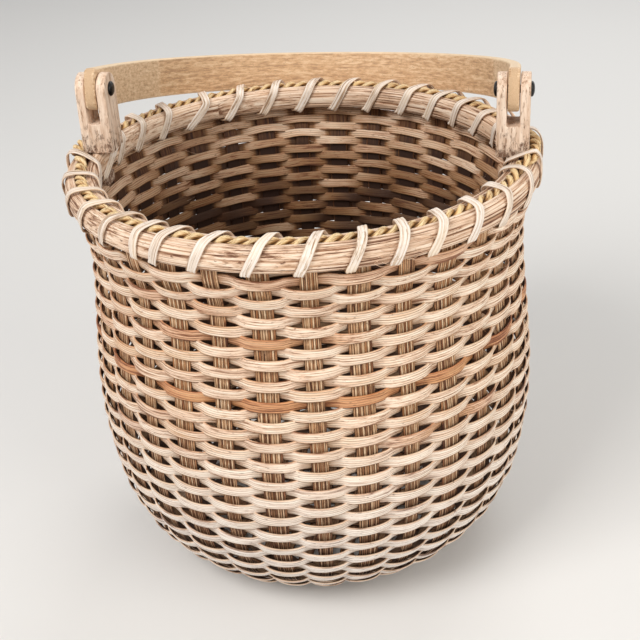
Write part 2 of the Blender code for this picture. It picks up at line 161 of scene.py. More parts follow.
def sweep(name, sections, closed=False):
    # Skin over like rings of points; a section is a ring and (along, across, tone, shade) for its points
    rows = len(sections)
    count = len(sections[0][0])
    faces = []
    for row in range(rows if closed else rows - 1):
        first = row * count
        second = (row + 1) % rows * count
        for place in range(count):
            beside = (place + 1) % count
            faces.append((first + place, first + beside, second + beside, second + place))
    if not closed:
        faces.append(tuple(range(count - 1, -1, -1)))
        faces.append(tuple((rows - 1) * count + place for place in range(count)))
    mesh = bpy.data.meshes.new(name)
    mesh.from_pydata([point for ring, _ in sections for point in ring], [], faces)
    values = [value for _, marks in sections for value in marks]
    fibre = mesh.attributes.new("fibre", "FLOAT_VECTOR", "POINT")
    fibre.data.foreach_set("vector", [part for value in values for part in value[:3]])
    shade = mesh.attributes.new("shade", "FLOAT", "POINT")
    shade.data.foreach_set("value", [value[3] for value in values])
    bm = bmesh.new()
    bm.from_mesh(mesh)
    bmesh.ops.recalc_face_normals(bm, faces=bm.faces)
    bm.to_mesh(mesh)
    bm.free()
    return placed(name, mesh)


def joined(name, parts):
    # One piece from several
    bm = bmesh.new()
    for part in parts:
        bm.from_mesh(part.data)
        bpy.data.objects.remove(part)
    return fromBmesh(name, bm)


def dress(piece, material, body, slot, *nodes):
    piece.data.materials.append(materials[material])
    piece.data.polygons.foreach_set("use_smooth", [True] * len(piece.data.polygons))
    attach(piece, body)
    if nodes:
        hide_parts(*nodes)


def dressReed(name, kind, sections):
    dress(sweep(name + "_reed", sections), kind, "basket", kind + "_reed", name)


# Materials

class Wire:
    # A node's socket that takes part in sums
    def __init__(self, tree, socket):
        self.tree = tree
        self.socket = socket

    def beside(self, output):
        # Another output of the same node
        return Wire(self.tree, self.socket.node.outputs[output])

    def maths(self, operation, first, second=0.0):
        return self.tree.node("ShaderNodeMath", {"operation": operation}, {0: first, 1: second})

    def __add__(self, other):
        return self.maths("ADD", self, other)

    def __radd__(self, other):
        return self.maths("ADD", other, self)

    def __sub__(self, other):
        return self.maths("SUBTRACT", self, other)

    def __rsub__(self, other):
        return self.maths("SUBTRACT", other, self)

    def __mul__(self, other):
        return self.maths("MULTIPLY", self, other)

    def __rmul__(self, other):
        return self.maths("MULTIPLY", other, self)

    def sine(self):
        return self.maths("SINE", self)


class Tree:
    # The nodes of a material or world, and the shader that it comes with
    def __init__(self, owner, shader):
        owner.use_nodes = True
        self.owner = owner
        self.nodes = owner.node_tree.nodes
        self.links = owner.node_tree.links
        self.shader = self.nodes[shader]

    def node(self, kind, settings=None, inputs=None, output=0):
        made = self.nodes.new(kind)
        for key, value in (settings or {}).items():
            if key == "stops":
                ramp = made.color_ramp
                while len(ramp.elements) < len(value):
                    ramp.elements.new(0.5)
                for element, (place, colour) in zip(ramp.elements, value):
                    element.position = place
                    element.color = (*(colour if isinstance(colour, tuple) else (colour,) * 3), 1.0)
            else:
                setattr(made, key, value)
        for key, value in (inputs or {}).items():
            self.feed(made.inputs[key], value)
        return Wire(self, made.outputs[output])

    def feed(self, socket, value):
        if isinstance(value, Wire):
            self.links.new(value.socket, socket)
        elif isinstance(value, tuple) and socket.type == "RGBA":
            socket.default_value = (*value, 1.0)
        else:
            socket.default_value = value

    def set(self, **inputs):
        for name, value in inputs.items():
            self.feed(self.shader.inputs[name.replace("_", " ")], value)

    def place(self):
        # In the object's own space
        return self.node("ShaderNodeTexCoord", output=3)

    def split(self, vector):
        first = self.node("ShaderNodeSeparateXYZ", inputs={0: vector})
        return first, first.beside(1), first.beside(2)

    def fibre(self):
        # Metres along the strip, metres across it and its tone; then the painted shade of its hollows, which
        # on the handle marks its worn edge instead
        vector = self.node("ShaderNodeAttribute", {"attribute_name": "fibre"}, output=1)
        return self.split(vector), self.node("ShaderNodeAttribute", {"attribute_name": "shade"}, output=2)

    def point(self, x, y, z):
        return self.node("ShaderNodeCombineXYZ", inputs={0: x, 1: y, 2: z})

    def noise(self, place, scale=1.0, detail=3.0, roughness=0.6):
        return self.node("ShaderNodeTexNoise", inputs={"Vector": place, "Scale": scale, "Detail": detail,
                                                       "Roughness": roughness})

    def grain(self, axes, scales, **settings):
        # Noise that each axis stretches by its own scale
        return self.noise(self.point(*(axis * scale for axis, scale in zip(axes, scales))), **settings)

    def ramp(self, share, *stops):
        return self.node("ShaderNodeValToRGB", {"stops": stops}, {0: share})

    def mix(self, share, one, two, blend="MIX"):
        return self.node("ShaderNodeMix", {"data_type": "RGBA", "blend_type": blend},
                         {0: share, 6: one, 7: two}, output=2)

    def clamp(self, value):
        return self.node("ShaderNodeClamp", inputs={0: value})

    def bump(self, height, distance):
        self.set(Normal=self.node("ShaderNodeBump", inputs={"Height": height, "Distance": distance,
                                                            "Strength": 1.0}))


def newMaterial(name, roughness):
    tree = Tree(bpy.data.materials.new(name), "Principled BSDF")
    tree.set(Roughness=roughness)
    return tree


# Streak scales are along the strip, across it and by tone; stops are where deep, mid and pale lie
# In each look the fifth and sixth colours are what painted shade in hollows and crevices darkens toward
reedLooks = {
    "weaver": {"pale": (0.96, 0.83, 0.68), "mid": (0.82, 0.58, 0.42), "deep": (0.25, 0.11, 0.05),
               "warm": (0.70, 0.37, 0.14), "stain": (0.62, 0.40, 0.22), "shadow": (0.050, 0.017, 0.005),
               "baseSaturation": 0.45, "streaks": (38, 1000, 23), "linePitch": 0.0015, "bump": 0.0004,
               "roughness": 0.60, "stops": (0.33, 0.44, 0.58)},
    "stake": {"pale": (0.94, 0.73, 0.50), "mid": (0.60, 0.35, 0.18), "deep": (0.12, 0.045, 0.018),
              "warm": (0.56, 0.30, 0.12), "stain": (0.50, 0.30, 0.16), "shadow": (0.030, 0.010, 0.004),
              "baseSaturation": 0.8, "streaks": (26, 620, 23), "bump": 0.00045, "roughness": 0.72,
              "stops": (0.34, 0.48, 0.61)},
    "band": {"pale": (0.92, 0.76, 0.61), "mid": (0.70, 0.48, 0.33), "deep": (0.17, 0.07, 0.03),
             "warm": (0.74, 0.44, 0.24), "stain": (0.55, 0.33, 0.19), "shadow": (0.07, 0.03, 0.012),
             "streaks": (22, 820, 23), "bump": 0.00045, "roughness": 0.64,
             "stops": (0.36, 0.46, 0.58)},
    "lash": {"pale": (0.89, 0.82, 0.76), "mid": (0.77, 0.65, 0.54), "deep": (0.37, 0.24, 0.15),
             "warm": (0.86, 0.66, 0.42), "stain": (0.70, 0.52, 0.36), "shadow": (0.20, 0.10, 0.045),
             "streaks": (24, 950, 23), "bump": 0.00022, "roughness": 0.52,
             "stops": (0.35, 0.45, 0.57)},
    "seagrass": {"pale": (0.92, 0.75, 0.48), "mid": (0.74, 0.51, 0.25), "deep": (0.22, 0.10, 0.03),
                 "warm": (0.80, 0.50, 0.16), "stain": (0.60, 0.38, 0.16), "shadow": (0.08, 0.035, 0.01),
                 "streaks": (60, 1300, 23), "bump": 0.0004, "roughness": 0.62,
                 "stops": (0.34, 0.45, 0.57)},
}


# What all reeds share: scales, and where each kind of mark starts and is full
reedMarks = {
    "patch": (16, 90, 7), "fleck": (240, 1100, 13), "warmth": ((0.58, 0.0), (0.82, 1.0)), "warmShare": 0.80,
    "warmPatch": ((0.52, 0.0), (0.74, 0.50)), "speck": ((0.64, 0.0), (0.72, 0.85)),
    "line": ((0.72, 0.0), (0.98, 1.0)), "linePatch": ((0.40, 0.25), (0.58, 0.85)), "lineWander": 7,
    # The last two entries set how strongly the shade attribute paints shade and where painted shadow starts
    "saturationFrom": 0.05, "saturationTo": 0.16, "paintedShadeGain": 1.5, "shadowFrom": 0.55,
}


def reedMaterial(name):
    # Split plant fibre: long fine streaks, a slow drift of colour, painted shade in the hollows
    look = reedLooks[name]
    tree = newMaterial(name + "_reed", look["roughness"])
    axes, shade = tree.fibre()
    along, across, tone = axes
    streaks = tree.grain(axes, look["streaks"], detail=5.0, roughness=0.68)
    patch = tree.grain(axes, reedMarks["patch"], detail=2.0)
    fleck = tree.grain(axes, reedMarks["fleck"], detail=2.0)
    level = (streaks - 0.5) * (shade * 0.7 + 1) + 0.5 + (patch - 0.5) * 0.28 + (tone - 0.45) * -0.16
    colour = tree.ramp(level, *zip(look["stops"], (look["deep"], look["mid"], look["pale"])))
    warmed = tree.mix(reedMarks["warmShare"], colour, look["warm"], "MULTIPLY")
    colour = tree.mix(tree.ramp(tone, *reedMarks["warmth"]), colour, warmed)
    colour = tree.mix(tree.ramp(patch, *reedMarks["warmPatch"]), colour, look["warm"])
    colour = tree.mix(tree.ramp(fleck, *reedMarks["speck"]), colour, look["deep"])
    height = streaks * 0.75 + fleck * 0.25
    if "linePitch" in look:
        wander = tree.noise(tree.point(along * 22, tone * 9, 0.5), detail=2.0)
        wave = (across * (2 * pi / look["linePitch"]) + (wander - 0.5) * reedMarks["lineWander"]).sine()
        line = tree.ramp(wave, *reedMarks["line"]) * tree.ramp(patch, *reedMarks["linePatch"])
        colour = tree.mix(line, colour, look["deep"])
        height = height - line * 0.5
    # Less saturated toward the bottom
    if "baseSaturation" in look:
        up = tree.split(tree.place())[2]
        keep = tree.node("ShaderNodeMapRange", inputs={0: up, 1: reedMarks["saturationFrom"],
                                                       2: reedMarks["saturationTo"], 3: look["baseSaturation"], 4: 1.0})
        colour = tree.node("ShaderNodeHueSaturation", inputs={"Saturation": keep, "Color": colour})
    # Painted shade from the shade attribute: first a tint, then deeper shadow
    dark = shade * reedMarks["paintedShadeGain"]
    colour = tree.mix(tree.clamp(dark), colour, look["stain"], "MULTIPLY")
    colour = tree.mix(tree.clamp(dark - reedMarks["shadowFrom"]), colour, look["shadow"])
    tree.set(Base_Color=colour)
    tree.bump(height, look["bump"])
    return tree.owner


earLook = {
    "grain": (300, 300, 34), "pores": (900, 900, 150), "rough": (420, 420, 230),
    "roughness": 0.7, "bump": 0.0005,
    "stops": ((0.26, (0.36, 0.21, 0.13)), (0.42, (0.66, 0.47, 0.34)), (0.60, (0.86, 0.70, 0.57))),
    "poreStops": ((0.58, 0.0), (0.68, 0.75)), "poreColour": (0.24, 0.12, 0.06),
    "lowDarkColour": (0.13, 0.055, 0.025), "lowDarkFrom": 0.026, "lowDarkFull": -0.006, "lowDarkShare": 0.92,
}


def earWood():
    # Worn blocks, darker in rough blotches toward where they meet the rim
    tree = newMaterial("ear_wood", earLook["roughness"])
    axes = tree.split(tree.place())
    grain = tree.grain(axes, earLook["grain"], detail=5.0, roughness=0.72)
    pores = tree.grain(axes, earLook["pores"], detail=2.0)
    rough = tree.grain(axes, earLook["rough"], detail=5.0, roughness=0.75)
    colour = tree.ramp(grain, *earLook["stops"])
    colour = tree.mix(tree.ramp(pores, *earLook["poreStops"]), colour, earLook["poreColour"])
    low = tree.node("ShaderNodeMapRange", inputs={0: axes[2], 1: rimTop + earLook["lowDarkFrom"],
                                                  2: rimTop + earLook["lowDarkFull"]})
    dark = tree.clamp(low * 1.7 + (rough - 0.5) * 7 - 0.9)
    tree.set(Base_Color=tree.mix(dark * earLook["lowDarkShare"], colour, earLook["lowDarkColour"]))
    tree.bump(grain * 0.6 + pores * 0.2 - dark * 0.4, earLook["bump"])
    return tree.owner


handleLook = {
    "grain": (13, 380, 1), "flecks": (130, 620, 1), "ends": (330, 420, 1), "dots": (520, 900, 1),
    "middleStops": ((0.40, (0.32, 0.15, 0.06)), (0.49, (0.57, 0.32, 0.15)), (0.60, (0.79, 0.56, 0.35))),
    "outerStops": ((0.38, (0.36, 0.20, 0.10)), (0.48, (0.61, 0.40, 0.23)), (0.62, (0.81, 0.61, 0.41))),
    "dotStops": ((0.62, 0.0), (0.70, 0.7)), "dotColour": (0.27, 0.14, 0.06),
    "edgeColour": (0.86, 0.68, 0.47), "roughness": 0.62, "bump": 0.0004,
}


def handleWood():
    # Orange grain along the middle, plainer and greyer toward the ends, a pale worn edge
    tree = newMaterial("handle_wood", handleLook["roughness"])
    axes, shade = tree.fibre()
    grain = tree.grain(axes, handleLook["grain"], detail=5.0, roughness=0.68)
    flecks = tree.grain(axes, handleLook["flecks"], detail=4.0, roughness=0.7)
    ends = tree.grain(axes, handleLook["ends"], detail=5.0, roughness=0.75)
    dots = tree.grain(axes, handleLook["dots"], detail=2.0)
    middle = tree.ramp(grain * 0.40 + flecks * 0.60, *handleLook["middleStops"])
    outer = tree.ramp(ends * 0.6 + flecks * 0.4, *handleLook["outerStops"])
    colour = tree.mix(tree.clamp(axes[2]), middle, outer)
    colour = tree.mix(tree.ramp(dots, *handleLook["dotStops"]), colour, handleLook["dotColour"])
    tree.set(Base_Color=tree.mix(tree.clamp(shade), colour, handleLook["edgeColour"]))
    tree.bump(grain * 0.3 + flecks * 0.4 + ends * 0.3, handleLook["bump"])
    return tree.owner


def pinBlack():
    tree = newMaterial("pin_black", 0.34)
    scuffs = tree.noise(tree.place(), scale=700, detail=4.0)
    tree.set(Base_Color=tree.ramp(scuffs, (0.45, (0.012, 0.012, 0.013)), (0.75, (0.05, 0.045, 0.04))),
             Metallic=0.7, Roughness=scuffs * 0.25 + 0.24)
    tree.bump(scuffs, 0.00008)
    return tree.owner


materials = {name: reedMaterial(name) for name in reedLooks}
materials.update({"ear": earWood(), "handle": handleWood(), "pin": pinBlack()})
print("materials made")


# Weavers

weavers = {
    "width": 0.0070, "front": 0.0010, "back": 0.0006, "sides": 14, "edgePower": 0.70, "facePower": 0.42,
    "pitch": 0.00673, "firstDrop": 0.0230, "lastOut": 0.0050, "lengths": 5,
    "backRise": 0.0022, "backCrowding": 0.0150, "early": 9,
    "swing": 0.0021, "squareness": 0.62, "perSlot": 10, "firstSlot": 27, "tilt": 0.10, "insideTilt": 0.18,
    "insideRise": 0.0007, "outsideDrop": 0.0002, "crossTilt": 0.08, "bow": 0.25,
    "startTaper": 5.0, "endTaper": 2.5, "tipShare": 0.25, "meanRadius": 0.14,
    "seeds": {"a": 11.0, "b": 23.0},
    # narrower toward the base and over an upright, wider where it dives
    "fullRadius": 0.125, "baseShare": 0.90, "overShare": 1.03, "diveShare": 0.10,
    # small wander: how much, how fast along the slots, seed
    "wander": {"rise": (0.00035, 0.9, 0), "drift": (0.0004, 0.13, 1), "swing": (0.12, 0.5, 2),
               "tilt": (0.16, 0.7, 3), "width": (0.07, 0.31, 5), "stain": (0.8, 0.6, 6),
               "inside": (0.0009, 1.3, 7)},
    # middle turn, half its length in turns, how warm
    "warmTurns": {"a": ((3.27, 0.27, 0.55), (6.20, 0.42, 0.55)),
                  "b": ((6.40, 0.50, 0.30), (8.90, 0.30, 0.25))},
}


def rowMark(station, lag):
    # Distance down the wall and share of the full width: the rows lie closer at the back
    mark = weavers["firstDrop"] + 2 * weavers["pitch"] * station / slots - lag
    back = (1 + sin((weavers["firstSlot"] - station) * slotAngle)) / 2
    depth = wallLength - weavers["firstDrop"]
    share = (mark - weavers["firstDrop"]) / depth
    rise = weavers["backRise"] * (1 - share) + 4 * weavers["backCrowding"] * share * (1 - share)
    closer = (4 * weavers["backCrowding"] * (1 - 2 * share) - weavers["backRise"]) / depth
    return mark - back * max(rise, 0.0), 1 - back * max(closer, 0.0)


def weaverTone(way, turns):
    # Mostly pale, with a few warm brown turns
    seed = 1.0 if way == "a" else 2.0
    tone = 0.40 + 0.34 * fuzz(turns * 2.3, seed) + 0.22 * fuzz(turns * 11.0, seed + 4)
    for warm, reach, strength in weavers["warmTurns"][way]:
        tone += strength * exp(-((turns - warm) / reach) ** 8)
    return min(max(tone, 0.0), 1.0)


def weaverRing(way, station, squeeze):
    # One section of the ribbon; stations count the slots that it has passed
    seed = weavers["seeds"][way]
    lag = 0 if way == "a" else 1

    def wander(kind):
        much, pace, own = weavers["wander"][kind]
        return much * fuzz(station * pace, seed + own)

    slot = weavers["firstSlot"] - station
    angle = slot * slotAngle
    sway = bulged(cos(pi * (slot - lag)), weavers["squareness"])
    inward = max(-sway, 0.0)
    mark, widthShare = rowMark(station, lag * weavers["pitch"])
    mark += wander("rise") + wander("drift") + (wander("inside") - weavers["insideRise"]) * inward
    mark += weavers["outsideDrop"] * max(sway, 0.0)
    radius, height, outR, outZ = wallAt(mark)
    out = around(outR, angle, outZ)
    up = around(-outZ, angle, outR)
    bow = radius * (1 - cos(slotAngle)) * weavers["bow"] * outR
    shift = weavers["swing"] * sway * (1 + wander("swing")) + bow * (abs(sway) - 0.5)
    middle = around(radius, angle, height) + out * shift
    tilt = weavers["tilt"] + weavers["insideTilt"] * smoothShare(inward)
    tilt += wander("tilt") + weavers["crossTilt"] * sin(pi * (slot - lag))
    lean = up * cos(tilt) + out * sin(tilt)
    face = out * cos(tilt) - up * sin(tilt)
    width = weavers["width"] * widthShare * (1 + wander("width")) * squeeze
    width *= weavers["baseShare"] + (1 - weavers["baseShare"]) * min(radius / weavers["fullRadius"], 1.0)
    width *= weavers["overShare"] + weavers["diveShare"] * (1 - abs(sway) ** 3)
    turns = station / slots
    tone = weaverTone(way, turns)
    along = turns * 2 * pi * weavers["meanRadius"]
    # Painted shade where it dives behind the uprights, on either face; painted shade over the whole inside
    # face, deeper toward the bottom and varied at random
    outDark = 0.10 * smoothShare((0.05 - sway) / 0.35) + 0.36 * smoothShare((-0.60 - sway) / 0.30)
    inDark = (0.36 + 0.54 * smoothShare((mark - 0.020) / 0.110)) * (1 + wander("stain"))
    inDark += 0.50 * smoothShare((sway - 0.40) / 0.35)
    points, marks = [], []
    for side in range(weavers["sides"]):
        turn = 2 * pi * side / weavers["sides"]
        rise = sin(turn)
        across = bulged(cos(turn), weavers["edgePower"])
        depth = bulged(rise, weavers["facePower"]) * weavers["front" if rise > 0 else "back"]
        points.append(middle + lean * across * width / 2 + face * depth)
        # Painted shade along the ribbon's lower edge and, less, its upper edge, in the creases between rows
        under = max(-across - 0.70, 0.0) / 0.30
        over = max(across - 0.80, 0.0) / 0.20
        isFront = rise > -0.1
        dark = outDark + 0.90 * under + 0.50 * over if isFront else inDark + 0.45 * under
        marks.append((along, across * width / 2 + seed, tone if isFront else 0.7 * tone, dark))
    return points, marks


def weaverSpans(way):
    # First and last station of each length of reed, as the frame has them; the first length
    # comes out from under the rim a little earlier
    first, lag = (0, 0.0) if way == "a" else (slots // 2 + 1, weavers["pitch"])
    reach = wallLength - weavers["lastOut"] - weavers["firstDrop"] + lag
    last = int(reach * slots / (2 * weavers["pitch"]))
    pairs = (last - first) // 2 // weavers["lengths"]
    starts = [first + 2 * pairs * piece for piece in range(weavers["lengths"])]
    return list(zip([first - weavers["early"]] + starts[1:], starts[1:] + [last]))


def makeWeavers():
    tip = weavers["tipShare"]
    for way in "ab":
        spans = weaverSpans(way)
        for index, (start, stop) in enumerate(spans):
            count = (stop - start) * weavers["perSlot"]
            sections = []
            for step in range(count + 1):
                station = start + (stop - start) * step / count
                begins = smoothShare((station - start) / weavers["startTaper"]) if index == 0 else 1.0
                ends = smoothShare((stop - station) / weavers["endTaper"]) if stop == spans[-1][1] else 1.0
                sections.append(weaverRing(way, station, tip + (1 - tip) * min(begins, ends)))
            dressReed(f"weaver_{way}_{index + 1}", "weaver", sections)


makeWeavers()
print("weavers made")


# Stakes

stakes = {
    "longWay": 9, "crossWay": 7, "wide": 0.0138, "narrow": 0.0104, "thick": 0.0010,
    "baseShare": 0.70, "matPitch": 0.0130, "matGap": clearance, "matSteps": 6, "topDrop": 0.0045,
    "ribs": 9, "ribDepth": 0.00036, "perRib": 3, "wallStep": 0.0045, "bridgeSteps": 5,
    "backPoints": 5, "edgePower": 6,
}


def stakeWidthAt(width, mark):
    share = smoothShare((mark - bellyMark) / (wallLength - bellyMark))
    return width * (1 - share * (1 - stakes["baseShare"]))


def wallStations(angle, width):
    # (middle, across, outward, width) down the wall
    across = Vector((-sin(angle), cos(angle), 0.0))
    steps = int(wallLength / stakes["wallStep"])
    stations = []
    for step in range(steps + 1):
        mark = stakes["topDrop"] + (wallLength - stakes["topDrop"]) * step / steps
        radius, height, outR, outZ = wallAt(mark)
        stations.append((around(radius, angle, height), across, around(outR, angle, outZ),
                         stakeWidthAt(width, mark)))
    return stations


def matStations(offset, along, others, overFirst, width):
    # Over and under the crossing stakes, with a soft rise between them
    across = Vector((-along.y, along.x, 0.0))
    middleHeight = stakes["thick"] + stakes["matGap"] / 2
    lift = (stakes["thick"] + stakes["matGap"]) / 2
    stations = []
    for step in range(stakes["matSteps"] * (others - 1) + 1):
        place = step / stakes["matSteps"]
        wave = cos(pi * place)
        rise = copysign(min(abs(wave) * 1.5, 1.0), wave) * (1 if overFirst else -1)
        middle = across * offset + along * ((place - (others - 1) / 2) * stakes["matPitch"])
        middle.z = middleHeight + lift * rise
        stations.append((middle, across, Vector((0.0, 0.0, -1.0)), width * stakes["baseShare"]))
    return stations


def bridge(one, two):
    # Smooth run between the wall's end and the mat
    out = []
    for step in range(1, stakes["bridgeSteps"]):
        share = step / stakes["bridgeSteps"]
        blend = smoothShare(share)
        middle = one[0].lerp(two[0], share)
        middle.z = one[0].z + (two[0].z - one[0].z) * blend
        out.append((middle, one[1].lerp(two[1], blend).normalized(), one[2].lerp(two[2], blend).normalized(),
                    one[3] + (two[3] - one[3]) * blend))
    return out


def facing(stations, last):
    # The same hand of across as the stretch before
    if last[1].dot(stations[0][1]) < 0:
        return [(middle, -across, outward, width) for middle, across, outward, width in stations]
    return stations


def ribTone(rib, along, seed):
    # Pale and brown ribs lie side by side
    return min(max(0.42 + 0.30 * (-1) ** rib + 0.35 * fuzz(along * 14 + rib * 5.3, seed), 0.0), 1.0)


def stakeSections(stations, seed):
    # Ribbed outside, flat inside
    ribs = stakes["ribs"] * stakes["perRib"]
    sections = []
    along = 0.0
    last = stations[0][0]
    for middle, across, outward, width in stations:
        along += (middle - last).length
        last = middle
        ring, values = [], []
        # Painted shade over the inside face, full a few centimetres below the rim and less of it near the
        # base
        inside = 0.80 + 0.40 * smoothShare((rimTop - 0.020 - middle.z) / 0.050)
        inside -= 0.65 * smoothShare((0.040 - middle.z) / 0.040)
        # Darker toward the bottom of the outside
        low = 0.35 * smoothShare((0.190 - middle.z) / 0.140)
        for step in range(ribs + 1):
            share = step / ribs * 2 - 1
            phase = step / stakes["perRib"] + 0.25 * fuzz(along * 25, seed + step * 0.03)
            worn = 0.75 + 0.5 * fuzz(along * 18 + step // stakes["perRib"] * 9, seed)
            rib = min(abs(sin(pi * phase)) * worn, 1.0)
            depth = stakes["thick"] / 2 * (1 - abs(share) ** stakes["edgePower"])
            depth -= stakes["ribDepth"] * (1 - rib)
            ring.append(middle + across * share * width / 2 + outward * depth)
            # Painted shade in the grooves between the ribs
            values.append((along, share * width / 2 + seed, ribTone(int(max(phase, 0.0)), along, seed),
                           max(0.95 - rib * 1.5, 0.0) + low))
        for step in range(stakes["backPoints"]):
            share = 1 - 2 * (step + 0.5) / stakes["backPoints"]
            ring.append(middle + across * share * width / 2 - outward * stakes["thick"] / 2)
            values.append((along, share * width / 2 + seed, 0.5, inside))
        sections.append((ring, values))
    return sections


def makeStakes():
    sets = (("front_stake", stakes["longWay"], stakes["crossWay"], Vector((0.0, 1.0, 0.0)), False, 3.0),
            ("side_stake", stakes["crossWay"], stakes["longWay"], Vector((1.0, 0.0, 0.0)), True, 20.0))
    for label, count, others, along, isSide, seed in sets:
        for place in range(count):
            turn = (place - (count - 1) / 2) * slotAngle
            width = stakes["wide" if (place % 2 == 0) != isSide else "narrow"]
            angles = (pi - turn, turn) if isSide else (-pi / 2 + turn, pi / 2 - turn)
            matPlace = place if isSide else count - 1 - place
            offset = (matPlace - (count - 1) / 2) * stakes["matPitch"]
            overFirst = (matPlace + isSide) % 2 == 0
            start = wallStations(angles[0], width)
            middle = facing(matStations(offset, along, others, overFirst, width), start[-1])
            end = facing(wallStations(angles[1], width)[::-1], middle[-1])
            stations = start + bridge(start[-1], middle[0]) + middle + bridge(middle[-1], end[0]) + end
            dressReed(f"{label}_{place + 1}", "stake", stakeSections(stations, place + seed))


makeStakes()
print("stakes made")


# Rim bands

bands = {
    "around": 220, "crown": 44, "fullness": 2.7, "grooves": 12, "grooveDepth": 0.00050, "grooveWidth": 0.030,
    "scarfPlace": radians(-58.0), "scarfAngle": radians(13.0),
    # shares of the thickness that the lapped ends keep, and the strongest groove
    "underLap": 0.20, "overLap": 0.24, "lapRise": 0.72, "mostGroove": 1.2, "halfAcross": 0.0125,
    "backShares": (0.6, 0.0, -0.6),
}


def bandRing(flat, crown, angle, seed, low, high):
    # Half-round reed: flat against the stakes, crowned outside, with long grooves, and cut to
    # what lies between two shares of its thickness
    half = (rimTop - bandBottom) / 2
    middle = (rimTop + bandBottom) / 2
    thick = crown - flat
    fullness = bands["fullness"]
    reach = (1 - low ** fullness) ** (1 / fullness)
    along = angle * rimRadius
    ring, values = [], []
    power = 2 / fullness
    for step in range(bands["crown"] + 1):
        turn = pi * (step / bands["crown"] - 0.5)
        share = step / bands["crown"] * 2 - 1
        groove = 0.0
        for index in range(bands["grooves"]):
            spot = (index + 0.5) / bands["grooves"] * 2 - 1 + 0.12 * fuzz(along * 9, seed + index)
            # The grooves cut deeper and carry more painted shade toward the +X side
            strength = (0.55 + 1.0 * fuzz(along * 16 + index * 5, seed + 9)) * (1 + 0.35 * cos(angle))
            groove += max(strength, 0.0) * exp(-((share - spot) / bands["grooveWidth"]) ** 2)
        groove = min(groove, bands["mostGroove"])
        c = max(cos(turn), 0.0) ** power
        s = min(max(bulged(sin(turn), power), -reach), reach)
        inward = bands["grooveDepth"] * groove * min((high - low) * 2, 1.0)
        radial = flat + thick * min(max(c, low), high) - copysign(inward, thick) * c
        ring.append(around(radial, angle, middle + half * s - inward * s * (1 - c)))
        # Painted shade in the grooves
        values.append((along, share * bands["halfAcross"] + seed, 0.42 + 0.36 * fuzz(along * 7, seed + 2),
                       groove * 0.90))
    # Painted shade on the flat back against the stakes
    for share in bands["backShares"]:
        ring.append(around(flat + thick * low, angle, middle + half * reach * share))
        values.append((along, share * half + seed, 0.4, 0.3))
    return ring, values


def makeBand(name, flat, crown, place, seed):
    # A bent strip whose thinned ends lap each other
    scarf = bands["scarfAngle"]
    whole = 2 * pi + scarf
    sections = []
    for step in range(bands["around"] + 1):
        run = whole * step / bands["around"]
        low, high = 0.0, 1.0
        if run < scarf:
            high = bands["underLap"] + bands["lapRise"] * run / scarf
        elif run > whole - scarf:
            low = bands["overLap"] + bands["lapRise"] * (run - whole + scarf) / scarf
        sections.append(bandRing(flat, crown, place - scarf / 2 + run, seed, low, high))
    dressReed(name, "band", sections)


makeBand("outer_rim_band", outerBandIn, rimRadius, bands["scarfPlace"], 31.0)
makeBand("inner_rim_band", innerBandOut, innerBandIn, bands["scarfPlace"] + pi, 43.0)
print("rim bands made")


# Seagrass

seagrass = {
    "size": 0.0060, "depth": 0.0010, "plies": 2, "lay": 0.0175, "ply": 0.0022, "sides": 10, "step": 0.0011,
    "ringRadius": 0.142, "plySwing": 0.80, "overBand": 0.0006, "wobble": 0.16, "wobblePace": 30,
    # drawn in under each wrap: how much, and over what share of a slot
    "pinch": 0.20, "pinchReach": 0.16,
}


def ropePlace(angle):
    # In the groove between the bands, and out round each ear
    groove = (outerBandIn + innerBandOut) / 2
    size = seagrass["size"]
    approach = (abs(remainder(angle, pi)) * rimRadius - (earDepth + size) / 2) / earDepth
    outRadius = hypot(earHigh[0] + clearance + size / 2, earDepth / 2)
    radius = groove + (outRadius - groove) * (1 - smoothShare(approach))
    beside = max(outerBandIn - radius, 0.0)
    riding = rimTop + sqrt(max((size / 2 + seagrass["overBand"]) ** 2 - beside ** 2, 0.0))
    height = rimTop - seagrass["depth"]
    return radius, height + (riding - height) * (1 - smoothShare(approach - 1))


def plyRing(angle, ply, laps):
    # One of the two plies that twist round each other
    radius, height = ropePlace(angle)
    twist = laps * angle + 2 * pi * ply / seagrass["plies"]
    pace = seagrass["wobblePace"]
    wobble = 1 + seagrass["wobble"] * noise.noise(Vector((cos(angle) * pace, sin(angle) * pace, ply * 9.0)))
    toWrap = abs(remainder(angle / slotAngle - 1.0, 1.0))
    wobble *= 1 - seagrass["pinch"] * exp(-(toWrap / seagrass["pinchReach"]) ** 2)
    swing = seagrass["ply"] * seagrass["plySwing"]
    reach = seagrass["ply"] * wobble
    middle = around(radius + swing * cos(twist), angle, height + swing * sin(twist))
    ring, values = [], []
    for side in range(seagrass["sides"]):
        turn = 2 * pi * side / seagrass["sides"] + twist
        ring.append(middle + around(reach * cos(turn), angle, reach * sin(turn)))
        # Painted shade where the two plies press against each other
        inward = 0.5 - 0.5 * cos(turn - twist)
        values.append((angle * seagrass["ringRadius"], turn * seagrass["ply"] + ply, 0.35 + 0.2 * wobble,
                       max(inward * 1.6 - 0.5, 0.0)))
    return ring, values


def makeSeagrass():
    length = 2 * pi * seagrass["ringRadius"]
    laps = round(length / seagrass["lay"])
    steps = int(length / seagrass["step"])
    parts = []
    for ply in range(seagrass["plies"]):
        sections = [plyRing(2 * pi * step / steps, ply, laps) for step in range(steps)]
        parts.append(sweep(f"seagrass_ply_{ply + 1}", sections, closed=True))
    dress(joined("rim_seagrass_cord", parts), "seagrass", "basket", "seagrass", "rim_seagrass")


makeSeagrass()
print("seagrass made")


# Lashing

